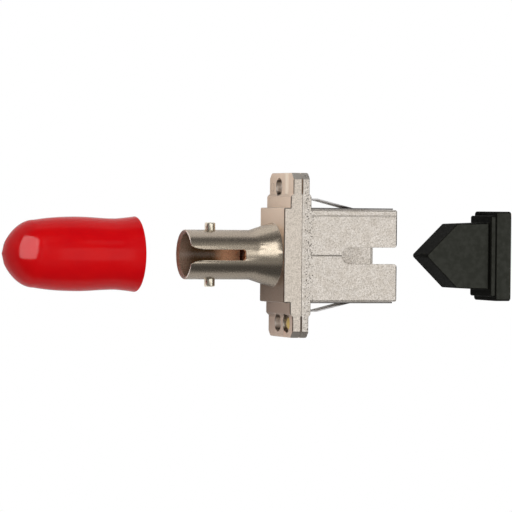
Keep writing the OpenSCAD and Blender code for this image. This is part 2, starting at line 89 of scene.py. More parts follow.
class Slot(Enum):
    """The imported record's material slots."""

    CAST_NICKEL = "cast_nickel"
    LUG_BRASS = "lug_brass"
    SLEEVE_CERAMIC = "sleeve_ceramic"
    INSERT_PLASTIC = "insert_plastic"
    CLIP_STEEL = "clip_steel"
    CAP_VINYL = "cap_vinyl"
    PLUG_RUBBER = "plug_rubber"


@dataclass(frozen=True)
class Grain:
    """A cloudy pattern, from the size of its grains to the share that each finer layer keeps.

    The detail says how many finer layers lie over the first, and the stretch how many times finer
    the grains are along X, Y and Z.
    """

    size_mm: float
    detail: float = 2.0
    stretch: Point = (1.0, 1.0, 1.0)
    roughness: float = 0.5


def feed(tree: bpy.types.NodeTree, source: Union[Value, Shade], target: Socket) -> None:
    """Link a socket into a target, or write a number or an opaque colour on it.

    Args:
        tree: The node tree that holds both.
        source: A socket, a number or a colour.
        target: The input that receives it.
    """
    if isinstance(source, bpy.types.NodeSocket):
        tree.links.new(source, target)
    elif isinstance(source, tuple):
        target.default_value = (*source, 1.0)
    else:
        target.default_value = source


def reckon(tree: bpy.types.NodeTree, operation: str, *terms: Value) -> Socket:
    """Return the result of one Math node.

    Args:
        tree: The node tree that receives it.
        operation: The node's operation.
        terms: Its one, two or three inputs.

    Returns:
        The result's socket.
    """
    node = tree.nodes.new("ShaderNodeMath")
    node.operation = operation
    for term, target in zip(terms, node.inputs):
        feed(tree, term, target)
    return node.outputs[0]


def mix_colours(tree: bpy.types.NodeTree, share: Value, first: Shade, second: Shade) -> Socket:
    """Return a colour between two colours.

    Args:
        tree: The node tree that receives the node.
        share: 0 for the first colour and 1 for the second.
        first: The first colour, or its socket.
        second: The second colour, or its socket.

    Returns:
        The colour's socket.
    """
    node = tree.nodes.new("ShaderNodeMix")
    node.data_type = "RGBA"
    for source, place in ((share, 0), (first, MIX_FIRST), (second, MIX_SECOND)):
        feed(tree, source, node.inputs[place])
    return node.outputs[MIX_COLOUR]


def mix_shaders(tree: bpy.types.NodeTree, share: Socket, first: Socket, second: Socket) -> Socket:
    """Return a shader between two shaders.

    Args:
        tree: The node tree that receives the node.
        share: 0 for the first shader and 1 for the second.
        first: The first shader's socket.
        second: The second shader's socket.

    Returns:
        The shader's socket.
    """
    node = tree.nodes.new("ShaderNodeMixShader")
    for source, target in zip((share, first, second), node.inputs):
        feed(tree, source, target)
    return node.outputs[0]


class Recipe:
    """One material's node tree, built up in plain steps."""

    def __init__(self, name: str) -> None:
        """Start a material with its shader and its object coordinates.

        Args:
            name: The material's name.
        """
        self.material = bpy.data.materials.new(name)
        self.material.use_nodes = True
        self.tree = self.material.node_tree
        self.shader = self.tree.nodes["Principled BSDF"]
        self.texture_place = self.tree.nodes.new("ShaderNodeTexCoord")
        self.x, self.y, self.z = self.split(self.texture_place.outputs["Object"])

    def split(self, vector: Socket) -> tuple[Socket, Socket, Socket]:
        """Return the three parts of a vector.

        Args:
            vector: The vector socket to take apart.

        Returns:
            Its X, Y and Z sockets.
        """
        node = self.tree.nodes.new("ShaderNodeSeparateXYZ")
        self.tree.links.new(vector, node.inputs[0])
        return node.outputs[0], node.outputs[1], node.outputs[2]

    def normal(self) -> tuple[Socket, Socket, Socket]:
        """Return the three parts of the direction that the surface faces."""
        return self.split(self.texture_place.outputs["Normal"])

    def set(self, name: str, source: Union[Value, Shade]) -> None:
        """Feed a socket, a number or a colour to the shader's input of that name."""
        feed(self.tree, source, self.shader.inputs[name])

    def sum(self, operation: str, *terms: Value) -> Socket:
        """Return the result of one sum of up to three terms."""
        return reckon(self.tree, operation, *terms)

    def both(self, first: Value, second: Value) -> Socket:
        """Return the product of two masks, which is 1 only where both are."""
        return self.sum("MULTIPLY", first, second)

    def unsigned(self, value: Socket) -> Socket:
        """Return a value without its sign."""
        return self.sum("ABSOLUTE", value)

    def distance(self, first: Socket, second: Socket) -> Socket:
        """Return the root of the sum of two squares.

        Args:
            first: How far a point lies to one side.
            second: How far it lies to the other.

        Returns:
            The distance's socket.
        """
        squares = (self.sum("POWER", part, 2.0) for part in (first, second))
        return self.sum("SQRT", self.sum("ADD", *squares))

    def blend(self, share: Value, first: Shade, second: Shade) -> Socket:
        """Return a colour between two colours, the first where the share is 0."""
        return mix_colours(self.tree, share, first, second)

    def step(self, source: Value, band: Span, to: Span = RISE) -> Socket:
        """Carry a value smoothly from one level to another as it goes through a band.

        Args:
            source: The value that decides.
            band: Where the change begins and where it ends.
            to: The levels before and after the change.

        Returns:
            The level's socket.
        """
        node = self.tree.nodes.new("ShaderNodeMapRange")
        node.interpolation_type = "SMOOTHSTEP"
        for value, target in zip((source, *band, *to), node.inputs):
            feed(self.tree, value, target)
        return node.outputs[0]

    def across(self, part: Socket, band_mm: Span, to: Span = RISE) -> Socket:
        """Carry a level smoothly to another one across a band of a coordinate or a distance.

        Args:
            part: The coordinate or the distance, in metres.
            band_mm: Where the change begins and where it ends, in millimetres.
            to: The levels before and after the change.

        Returns:
            The level's socket.
        """
        return self.step(part, (band_mm[0] * MM, band_mm[1] * MM), to)

    def between(self, part: Socket, start_mm: Span, end_mm: Span) -> Socket:
        """Return 1 in a strip that starts across one band and ends across another."""
        return self.both(self.across(part, start_mm), self.across(part, end_mm, FALL))

    def noise(self, grain: Grain) -> Socket:
        """Return a cloudy value from 0 to 1.

        Args:
            grain: The pattern of the clouds.

        Returns:
            The value's socket.
        """
        mapping = self.tree.nodes.new("ShaderNodeMapping")
        mapping.inputs["Scale"].default_value = tuple(s / (grain.size_mm * MM) for s in grain.stretch)
        self.tree.links.new(self.texture_place.outputs["Object"], mapping.inputs["Vector"])
        node = self.tree.nodes.new("ShaderNodeTexNoise")
        node.inputs["Scale"].default_value = 1.0
        node.inputs["Detail"].default_value = grain.detail
        node.inputs["Roughness"].default_value = grain.roughness
        self.tree.links.new(mapping.outputs[0], node.inputs["Vector"])
        return node.outputs[0]

    def mottle(self, cloud: Grain, first: Colour, second: Colour) -> Socket:
        """Return clouds of a second colour in a first one."""
        return self.blend(self.step(self.noise(cloud), CLOUD_BAND), first, second)

    def polish(self, pattern: Socket, roughness: Span) -> None:
        """Let the shader's roughness go from one level to another with a pattern."""
        self.set("Roughness", self.step(pattern, GRAIN_BAND, roughness))

    def bump(self, height: Socket, depth_mm: float) -> None:
        """Give the shader a relief.

        Args:
            height: The relief, from 0 to 1.
            depth_mm: Its depth in millimetres.
        """
        node = self.tree.nodes.new("ShaderNodeBump")
        node.inputs["Strength"].default_value = 1.0
        node.inputs["Distance"].default_value = depth_mm * MM
        self.tree.links.new(height, node.inputs["Height"])
        self.tree.links.new(node.outputs[0], self.shader.inputs["Normal"])


@dataclass(frozen=True)
class BoreCopperAndPaintedLight:
    """The copper-brown inside of the barrel, with painted shade mid-way and painted light by its floor."""

    rim: Colour = (0.34, 0.16, 0.11)
    mouth: Colour = (0.25, 0.165, 0.115)
    # Painted shade deep in the bore, painted light on its wall near the floor, painted shadow in the corner.
    dark: Colour = (0.085, 0.042, 0.013)
    bright: Colour = (0.86, 0.47, 0.27)
    corner: Colour = (0.06, 0.025, 0.01)
    floor: Colour = (0.62, 0.28, 0.14)
    wall_r_mm: Span = (3.13, 3.16)
    end_x_mm: Span = (-5.7, -5.5)
    mouth_x_mm: Span = (-14.8, -14.6)
    painted_shade_x_mm: Span = (-14.2, -12.4)
    painted_light_x_mm: Span = (-10.3, -7.6)
    corner_shadow_x_mm: Span = (-6.12, -6.08)
    floor_x_mm: Span = (-6.1, -6.0)
    floor_z_mm: Span = (-1.8, -1.6)

    def mask(self, recipe: Recipe) -> Socket:
        """Return 1 inside the bore, where the radius about X is small and X is far enough out.

        Args:
            recipe: The material in hand.

        Returns:
            The mask's socket.
        """
        near = recipe.across(recipe.distance(recipe.y, recipe.z), self.wall_r_mm, FALL)
        return recipe.both(near, recipe.across(recipe.x, self.end_x_mm, FALL))

    def colour(self, recipe: Recipe) -> Socket:
        """Return the colour along the bore: rim, mouth, painted shade, painted light, painted corner shadow,
        floor.

        Args:
            recipe: The material in hand.

        Returns:
            The colour's socket.
        """
        stretches = (
            (self.mouth_x_mm, self.mouth),
            (self.painted_shade_x_mm, self.dark),
            (self.painted_light_x_mm, self.bright),
            (self.corner_shadow_x_mm, self.corner),
        )
        colour = self.rim
        for band_mm, shade in stretches:
            colour = recipe.blend(recipe.across(recipe.x, band_mm), colour, shade)
        on_floor = recipe.both(
            recipe.across(recipe.x, self.floor_x_mm), recipe.across(recipe.z, self.floor_z_mm)
        )
        return recipe.blend(on_floor, colour, self.floor)


@dataclass(frozen=True)
class PaintedFrontReflection:
    """Painted warm reflection on the faces towards the barrel: painted shade low on the flange, a painted
    highlight in its upper groove.
    """

    # Painted warm reflection, painted shade lower down, a painted shadow at the block's foot, a painted
    # highlight and painted rim shade and light.
    warm_reflection: Colour = (0.865, 0.675, 0.525)
    low: Colour = (0.42, 0.295, 0.225)
    low_ear_shade: Colour = (0.66, 0.49, 0.385)
    block_foot_shadow: Colour = (0.27, 0.175, 0.12)
    flute_highlight: Colour = (0.98, 0.835, 0.68)
    far_rim_shade: Colour = (0.34, 0.18, 0.14)
    near_rim_light: Colour = (0.95, 0.84, 0.77)
    low_ear_shade_y_mm: Span = (-8.6, -8.0)
    warm_y_mm: Span = (-5.0, 0.5)
    block_x_mm: Span = (-2.3, -2.2)
    block_foot_shadow_y_mm: Span = (-3.0, -0.5)
    flute_start_z_mm: Span = (1.1, 1.5)
    flute_end_z_mm: Span = (2.5, 2.9)
    flute_y_mm: Span = (8.0, 8.3)
    rim_x_mm: Span = (-15.0, -14.9)
    near_rim_light_z_mm: Span = (0.4, 1.4)

    def colour(self, recipe: Recipe) -> Socket:
        """Return the painted reflection, shade and highlights of the flange, the block's face and the
        barrel's rim.

        Args:
            recipe: The material in hand.

        Returns:
            The colour's socket.
        """
        # Painted shade: darker lower down the flange, a little less dark at the lower ear's end.
        low = recipe.blend(recipe.across(recipe.y, self.low_ear_shade_y_mm), self.low_ear_shade, self.low)
        warm_reflection = recipe.blend(recipe.across(recipe.y, self.warm_y_mm), low, self.warm_reflection)
        # Painted shadow at the foot of the block's face.
        on_block = recipe.across(recipe.x, self.block_x_mm, FALL)
        foot_shadow = recipe.both(on_block, recipe.across(recipe.y, self.block_foot_shadow_y_mm, FALL))
        warm_reflection = recipe.blend(foot_shadow, warm_reflection, self.block_foot_shadow)
        # Painted highlight in a strip up the upper ear.
        groove = recipe.between(recipe.z, self.flute_start_z_mm, self.flute_end_z_mm)
        flute_highlight = recipe.both(groove, recipe.across(recipe.y, self.flute_y_mm))
        warm_reflection = recipe.blend(flute_highlight, warm_reflection, self.flute_highlight)
        # Painted shade on the rim's far side and painted light on its near side.
        rim = recipe.blend(recipe.across(recipe.z, self.near_rim_light_z_mm), self.far_rim_shade, self.near_rim_light)
        return recipe.blend(recipe.across(recipe.x, self.rim_x_mm, FALL), warm_reflection, rim)


@dataclass(frozen=True)
class CastingMasks:
    """The masks that one casting's material is put together from, each from 0 to 1."""

    tilts: tuple[Socket, ...]
    outward: Socket
    to_barrel: Socket
    on_barrel: Socket
    on_half: Socket
    in_bore: Socket
    by_ear_end: Socket
    pits: Socket


@dataclass(frozen=True)
class CastNickel:
    """Nickel plate over a grainy zinc die casting, with pits along the edge of its flange.

    The half with the barrel is warmer. Its faces towards the barrel carry a painted warm reflection,
    its barrel is smoother and has painted shade above and below, and its bore is copper-brown with
    painted light and shade. Its edges and ear-end chamfers carry painted shade, its holes painted light.
    """

    # The bore's copper-brown, with painted light and shade.
    bore: BoreCopperAndPaintedLight = BoreCopperAndPaintedLight()
    # Painted warm reflection, with painted shade and highlights, on the faces towards the barrel.
    painted_reflection: PaintedFrontReflection = PaintedFrontReflection()
    bright: Colour = (0.81, 0.75, 0.685)
    stained: Colour = (0.73, 0.665, 0.595)
    speckle: Colour = (0.50, 0.45, 0.38)
    half_tint: Colour = (0.74, 0.655, 0.565)
    # Painted shade on the ear-end chamfers, darker on the lower ear.
    chamfer_shade: Colour = (0.58, 0.535, 0.48)
    chamfer_low_shade: Colour = (0.35, 0.315, 0.275)
    # Painted light inside the flange holes.
    hole_light: Colour = (0.99, 0.90, 0.82)
    barrel: Colour = (0.78, 0.665, 0.52)
    # Painted shade above and below the barrel's middle.
    barrel_high_shade: Colour = (0.50, 0.425, 0.345)
    barrel_low_shade: Colour = (0.36, 0.305, 0.245)
    # Painted shade along the rounded edges.
    edge: Colour = (0.16, 0.13, 0.11)
    pit: Colour = (0.10, 0.08, 0.07)

    half_tint_share: float = 0.8
    painted_reflection_share: float = 0.95
    edge_shade_share: float = 0.85
    pit_share: float = 0.85
    speckle_share: float = 0.75
    cone_shade_share: float = 0.65

    half_x_mm: Span = (-0.05, 0.05)
    barrel_x_mm: Span = (-2.65, -2.57)
    cone_shade_x_mm: Span = (-6.6, -5.2)
    barrel_low_shade_y_mm: Span = (-1.6, -0.9)
    barrel_high_shade_y_mm: Span = (1.55, 2.0)
    chamfer_shade_y_mm: Span = (-1.0, 1.0)
    ear_end_y_mm: Span = (10.0, 10.15)
    hole_y_mm: float = 9.1
    hole_z_mm: float = -0.95
    hole_r_mm: Span = (1.22, 1.26)

    to_barrel_tilt: Span = (0.40, 0.80)
    outward_tilt: Span = (0.15, 0.45)
    end_tilt: Span = (0.4, 0.6)
    rounded_tilt: Span = (0.76, 0.95)

    cloud: Grain = Grain(1.1, 3)
    speck: Grain = Grain(0.17, roughness=0.7)
    speck_band: Span = (0.36, 0.58)
    pitting: Grain = Grain(0.21, 2, (1, 0.8, 1), 0.7)
    pit_band: Span = (0.34, 0.42)
    pit_start_x_mm: Span = (0.25, 0.5)
    pit_end_x_mm: Span = (1.5, 1.8)

    grain: Grain = Grain(0.20, roughness=0.6)
    grain_depth_mm: float = 0.014
    grain_hidden: float = 0.85
    barrel_smoothness: float = 1.1
    roughness: Span = (0.28, 0.42)
    barrel_roughness_cut: float = 0.7
    barrel_roughness_add: float = 0.165
    bore_metal_cut: float = 0.9

    def masks(self, recipe: Recipe) -> CastingMasks:
        """Work out the places that the colours and the relief are sorted by.

        The first three are read from the direction that the surface faces, the others from X, from
        the bore and from the distance up or down the flange. The pits are the low spots of a fine
        noise in a narrow strip beside the parting plane.

        Args:
            recipe: The material in hand.

        Returns:
            The masks.
        """
        normal = recipe.normal()
        tilts = tuple(recipe.unsigned(part) for part in normal)
        low_spots = recipe.step(recipe.noise(self.pitting), self.pit_band, FALL)
        strip = recipe.between(recipe.x, self.pit_start_x_mm, self.pit_end_x_mm)
        return CastingMasks(
            tilts=tilts,
            outward=recipe.step(tilts[2], self.outward_tilt),
            to_barrel=recipe.step(recipe.sum("MULTIPLY", normal[0], -1.0), self.to_barrel_tilt),
            on_barrel=recipe.across(recipe.x, self.barrel_x_mm, FALL),
            on_half=recipe.across(recipe.x, self.half_x_mm, FALL),
            in_bore=self.bore.mask(recipe),
            by_ear_end=recipe.across(recipe.unsigned(recipe.y), self.ear_end_y_mm),
            pits=recipe.both(low_spots, strip),
        )

    def edge_shade_mask(self, recipe: Recipe, masks: CastingMasks) -> Socket:
        """Return 1 on the rounded edges of the barrel's half, off the barrel and the ears' ends, where
        painted shade goes.

        A point is on a rounded edge where the largest part of its direction is well below 1.

        Args:
            recipe: The material in hand.
            masks: The material's masks.

        Returns:
            The mask's socket.
        """
        largest = recipe.sum("MAXIMUM", recipe.sum("MAXIMUM", *masks.tilts[:2]), masks.tilts[2])
        off_barrel = recipe.sum("SUBTRACT", 1.0, masks.on_barrel)
        edges = recipe.both(recipe.step(largest, self.rounded_tilt, FALL), off_barrel)
        edges = recipe.both(recipe.both(edges, masks.outward), masks.on_half)
        return recipe.both(edges, recipe.sum("SUBTRACT", 1.0, masks.by_ear_end))

    def hole_light_mask(self, recipe: Recipe) -> Socket:
        """Return 1 within the two flange holes, at equal distances up and down the flange, where painted
        light goes.

        Args:
            recipe: The material in hand.

        Returns:
            The mask's socket.
        """
        aside = recipe.sum("SUBTRACT", recipe.unsigned(recipe.y), self.hole_y_mm * MM)
        behind = recipe.sum("SUBTRACT", recipe.z, self.hole_z_mm * MM)
        return recipe.across(recipe.distance(aside, behind), self.hole_r_mm, FALL)

    def barrel_colour(self, recipe: Recipe) -> Socket:
        """Return the colour of the barrel and its cone, with painted shade above and below its middle.

        Args:
            recipe: The material in hand.

        Returns:
            The colour's socket.
        """
        # Painted shade below the middle, and above it, fainter on the cone.
        lower = recipe.across(recipe.y, self.barrel_low_shade_y_mm, FALL)
        upper = recipe.both(
            recipe.across(recipe.y, self.barrel_high_shade_y_mm),
            recipe.across(recipe.x, self.cone_shade_x_mm, (1.0, self.cone_shade_share)),
        )
        barrel = recipe.blend(upper, self.barrel, self.barrel_high_shade)
        return recipe.blend(lower, barrel, self.barrel_low_shade)

    def colour(self, recipe: Recipe, masks: CastingMasks) -> Socket:
        """Lay the casting's colours over each other, from the bare plate through painted shade, light and
        reflection to the bore.

        Args:
            recipe: The material in hand.
            masks: The material's masks.

        Returns:
            The colour's socket.
        """
        plate = recipe.mottle(self.cloud, self.bright, self.stained)
        plate = recipe.blend(recipe.both(masks.on_half, self.half_tint_share), plate, self.half_tint)
        speckled = recipe.step(recipe.noise(self.speck), self.speck_band, (self.speckle_share, 0.0))
        plate = recipe.blend(speckled, plate, self.speckle)
        at_end = recipe.both(recipe.step(masks.tilts[1], self.end_tilt), masks.outward)
        at_end = recipe.both(at_end, masks.by_ear_end)
        # Painted shade on the ear ends, darker on the lower ear.
        chamfer_shade = recipe.blend(recipe.across(recipe.y, self.chamfer_shade_y_mm), self.chamfer_low_shade, self.chamfer_shade)
        # Painted shade on chamfers, painted light in holes, barrel with painted shade, painted warm
        # reflection, painted edge shade, pits, bore.
        layers = (
            (at_end, chamfer_shade),
            (self.hole_light_mask(recipe), self.hole_light),
            (masks.on_barrel, self.barrel_colour(recipe)),
            (recipe.both(masks.to_barrel, self.painted_reflection_share), self.painted_reflection.colour(recipe)),
            (recipe.both(self.edge_shade_mask(recipe, masks), self.edge_shade_share), self.edge),
            (recipe.both(masks.pits, self.pit_share), self.pit),
            (masks.in_bore, self.bore.colour(recipe)),
        )
        for share, layer in layers:
            plate = recipe.blend(share, plate, layer)
        return plate

    def dress(self) -> bpy.types.Material:
        """Put the finish together, with its grain hidden where the casting is smooth.

        Returns:
            The finished material.
        """
        recipe = Recipe("cast_nickel")
        masks = self.masks(recipe)
        recipe.set("Base Color", self.colour(recipe, masks))
        recipe.set("Metallic", recipe.sum("MULTIPLY_ADD", masks.in_bore, -self.bore_metal_cut, 1.0))
        fine = recipe.noise(self.grain)
        kept = recipe.sum("MULTIPLY_ADD", masks.on_barrel, -self.barrel_roughness_cut, 1.0)
        rough = recipe.sum("MULTIPLY", recipe.step(fine, GRAIN_BAND, self.roughness), kept)
        rough = recipe.sum("MULTIPLY_ADD", masks.on_barrel, self.barrel_roughness_add, rough)
        recipe.set("Roughness", rough)
        smooth = recipe.sum("MAXIMUM", masks.to_barrel, masks.in_bore)
        smooth = recipe.sum("MAXIMUM", smooth, recipe.both(masks.on_barrel, self.barrel_smoothness))
        grain = recipe.both(fine, recipe.sum("MULTIPLY_ADD", smooth, -self.grain_hidden, 1.0))
        recipe.bump(recipe.sum("SUBTRACT", grain, masks.pits), self.grain_depth_mm)
        return recipe.material


@dataclass(frozen=True)
class LugBrass:
    """Satin brass of the pressed-in lugs, and a yellower one of the lower rivet."""

    clean: Colour = (1.0, 0.93, 0.78)
    dull: Colour = (0.96, 0.86, 0.68)
    rivet: Colour = (0.62, 0.44, 0.15)
    rivet_x_mm: Span = (-6.0, -4.0)
    cloud: Grain = Grain(0.4, 3)
    turning: Grain = Grain(0.05, 2, (1, 0.2, 0.2))
    turning_depth_mm: float = 0.003
    roughness: Span = (0.22, 0.36)

    def dress(self) -> bpy.types.Material:
        """Put the finish together.

        Returns:
            The finished material.
        """
        recipe = Recipe("lug_brass")
        turning = recipe.noise(self.turning)
        brass = recipe.mottle(self.cloud, self.clean, self.dull)
        on_rivet = recipe.across(recipe.x, self.rivet_x_mm)
        recipe.set("Base Color", recipe.blend(on_rivet, brass, self.rivet))
        recipe.set("Metallic", 1.0)
        recipe.polish(turning, self.roughness)
        recipe.bump(turning, self.turning_depth_mm)
        return recipe.material


@dataclass(frozen=True)
class SleeveCeramic:
    """Polished white ceramic of the split sleeve."""

    white: Colour = (0.88, 0.87, 0.83)
    ivory: Colour = (0.82, 0.80, 0.74)
    cloud: Grain = Grain(0.8, 3)
    grain: Grain = Grain(0.08)
    grain_depth_mm: float = 0.0006
    roughness: Span = (0.10, 0.16)

    def dress(self) -> bpy.types.Material:
        """Put the finish together.

        Returns:
            The finished material.
        """
        recipe = Recipe("sleeve_ceramic")
        cloud = recipe.noise(self.cloud)
        recipe.set("Base Color", recipe.blend(cloud, self.white, self.ivory))
        recipe.polish(cloud, self.roughness)
        recipe.bump(recipe.noise(self.grain), self.grain_depth_mm)
        return recipe.material


@dataclass(frozen=True)
class InsertPlastic:
    """Natural moulded plastic of the latch insert."""

    pale: Colour = (0.80, 0.77, 0.68)
    shaded: Colour = (0.72, 0.69, 0.60)
    cloud: Grain = Grain(1.2, 3)
    sheen: Grain = Grain(0.3)
    grain: Grain = Grain(0.1)
    grain_depth_mm: float = 0.003
    roughness: Span = (0.36, 0.48)

    def dress(self) -> bpy.types.Material:
        """Put the finish together.

        Returns:
            The finished material.
        """
        recipe = Recipe("insert_plastic")
        recipe.set("Base Color", recipe.blend(recipe.noise(self.cloud), self.pale, self.shaded))
        recipe.polish(recipe.noise(self.sheen), self.roughness)
        recipe.bump(recipe.noise(self.grain), self.grain_depth_mm)
        return recipe.material


@dataclass(frozen=True)
class ClipSteel:
    """Rolled spring steel of the panel clip, bright on its faces, with painted shade on its cut edges."""

    face: Colour = (0.66, 0.64, 0.61)
    dull: Colour = (0.59, 0.57, 0.54)
    # Painted shade on the cut edges of the walls.
    painted_cut_shade: Colour = (0.07, 0.06, 0.055)
    tongue: Colour = (0.58, 0.56, 0.55)
    base_z_mm: Span = (-4.7, -4.6)
    wall_y_mm: Span = (6.22, 6.26)
    tongue_y_mm: Span = (6.45, 6.9)
    upright_tilt: Span = (0.3, 0.7)
    endways_tilt: Span = (0.75, 0.95)
    cloud: Grain = Grain(1.0, 3)
    rolling: Grain = Grain(0.5, 3, (0.15, 5, 5))
    rolling_depth_mm: float = 0.003
    roughness: Span = (0.26, 0.40)

    def cut_colour(self, recipe: Recipe) -> Socket:
        """Return the colour of the cut edges: bright inside, painted shade on the walls, grey on the
        tongues.

        Args:
            recipe: The material in hand.

        Returns:
            The colour's socket.
        """
        aside = recipe.unsigned(recipe.y)
        edge = recipe.blend(recipe.across(aside, self.wall_y_mm), self.face, self.painted_cut_shade)
        return recipe.blend(recipe.across(aside, self.tongue_y_mm), edge, self.tongue)

    def dress(self) -> bpy.types.Material:
        """Put the finish together, with its cut edges above the clip's base or facing along X.

        Returns:
            The finished material.
        """
        recipe = Recipe("clip_steel")
        normal = recipe.normal()
        upright = recipe.step(recipe.unsigned(normal[2]), self.upright_tilt)
        endways = recipe.step(recipe.unsigned(normal[0]), self.endways_tilt)
        upper = recipe.both(upright, recipe.across(recipe.z, self.base_z_mm))
        cut = recipe.sum("MAXIMUM", upper, endways)
        steel = recipe.mottle(self.cloud, self.face, self.dull)
        recipe.set("Base Color", recipe.blend(cut, steel, self.cut_colour(recipe)))
        recipe.set("Metallic", 1.0)
        rolled = recipe.noise(self.rolling)
        recipe.polish(rolled, self.roughness)
        recipe.bump(rolled, self.rolling_depth_mm)
        return recipe.material


@dataclass(frozen=True)
class CapVinyl:
    """Glossy dipped red vinyl, with the soft unevenness of a dipped skin."""

    red: Colour = (0.68, 0.003, 0.005)
    deep: Colour = (0.64, 0.002, 0.005)
    cloud: Grain = Grain(3.0)
    sheen: Grain = Grain(0.6, 3)
    ripple: Grain = Grain(2.4, 1)
    ripple_depth_mm: float = 0.012
    roughness: Span = (0.11, 0.16)
    specular: float = 0.12

    def dress(self) -> bpy.types.Material:
        """Put the finish together.

        Returns:
            The finished material.
        """
        recipe = Recipe("cap_vinyl")
        recipe.set("Base Color", recipe.mottle(self.cloud, self.red, self.deep))
        recipe.polish(recipe.noise(self.sheen), self.roughness)
        recipe.set("Specular IOR Level", self.specular)
        recipe.bump(recipe.noise(self.ripple), self.ripple_depth_mm)
        return recipe.material


@dataclass(frozen=True)
class PlugRubber:
    """Dull black moulded rubber with a fine skin, dusty on its broad faces, with painted shade on its sides.
    """

    black: Colour = (0.032, 0.033, 0.027)
    dusty: Colour = (0.043, 0.044, 0.037)
    # Painted shade on the sides.
    painted_side_shade: Colour = (0.010, 0.010, 0.008)
    broad_tilt: Span = (0.7, 0.95)
    cloud: Grain = Grain(0.8, 4)
    skin: Grain = Grain(0.14, 3)
    skin_depth_mm: float = 0.008
    roughness: Span = (0.52, 0.66)
    specular: float = 0.02

    def dress(self) -> bpy.types.Material:
        """Put the finish together.

        Returns:
            The finished material.
        """
        recipe = Recipe("plug_rubber")
        skin = recipe.noise(self.skin)
        broad = recipe.step(recipe.unsigned(recipe.normal()[2]), self.broad_tilt)
        face = recipe.mottle(self.cloud, self.black, self.dusty)
        # Painted shade on the sides, the dusty black on the broad faces.
        recipe.set("Base Color", recipe.blend(broad, self.painted_side_shade, face))
        recipe.polish(skin, self.roughness)
        recipe.set("Specular IOR Level", self.specular)
        recipe.bump(skin, self.skin_depth_mm)
        return recipe.material


@dataclass(frozen=True)
class SoftenedNode:
    """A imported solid's own shape, with its sharp edges rounded as plating and tumbling leave them."""

    node: str
    body: Body
    slot: Slot
    round_mm: float
    steps: int = 2
    sharp_deg: float = 30.0
    flat_deg: float = 0.5
    merge_mm: float = 0.0002
    face_weight: int = 100

    def build(self, packed: bpy.types.Object, finish: bpy.types.Material) -> bpy.types.Object:
        """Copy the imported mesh, join its loose triangles and round its edges.

        Args:
            packed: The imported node's object, which is left alone.
            finish: The material of the copy.

        Returns:
            The new piece, which stands for the node.
        """
        mesh = packed.data.copy()
        mesh.name = f"{self.node}_softened"
        work = bmesh.new()
        work.from_mesh(mesh)
        bmesh.ops.remove_doubles(work, verts=work.verts, dist=self.merge_mm * MM)
        bmesh.ops.dissolve_limit(
            work, angle_limit=math.radians(self.flat_deg), verts=work.verts, edges=work.edges
        )
        for face in work.faces:
            face.smooth = True
        work.to_mesh(mesh)
        work.free()
        mesh.materials.clear()
        mesh.materials.append(finish)
        piece = bpy.data.objects.new(f"{self.node}_softened", mesh)
        bpy.context.scene.collection.objects.link(piece)
        rounding = piece.modifiers.new("edges", "BEVEL")
        rounding.width = self.round_mm * MM
        rounding.segments = self.steps
        rounding.limit_method = "ANGLE"
        rounding.angle_limit = math.radians(self.sharp_deg)
        rounding.use_clamp_overlap = False
        shading = piece.modifiers.new("flats", "WEIGHTED_NORMAL")
        shading.mode = "FACE_AREA"
        shading.weight = self.face_weight
        self.finish_mesh(piece, packed)
        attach(piece, self.body.value)
        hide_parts(self.node)
        return piece

    def finish_mesh(self, piece: bpy.types.Object, packed: bpy.types.Object) -> None:
        """Turn the rounded shape into the piece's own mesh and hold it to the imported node's box.

        Args:
            piece: The piece with its modifiers.
            packed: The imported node's object.
        """
        view = bpy.context.evaluated_depsgraph_get()
        rounded = bpy.data.meshes.new_from_object(
            piece.evaluated_get(view), preserve_all_data_layers=True, depsgraph=view
        )
        rounded.name = f"{self.node}_softened"
        box = np.array([tuple(corner) for corner in packed.bound_box])
        points = np.empty(len(rounded.vertices) * 3)
        rounded.vertices.foreach_get("co", points)
        held = np.clip(points.reshape(-1, 3), box.min(axis=0), box.max(axis=0))
        rounded.vertices.foreach_set("co", held.ravel())
        piece.modifiers.clear()
        piece.data = rounded


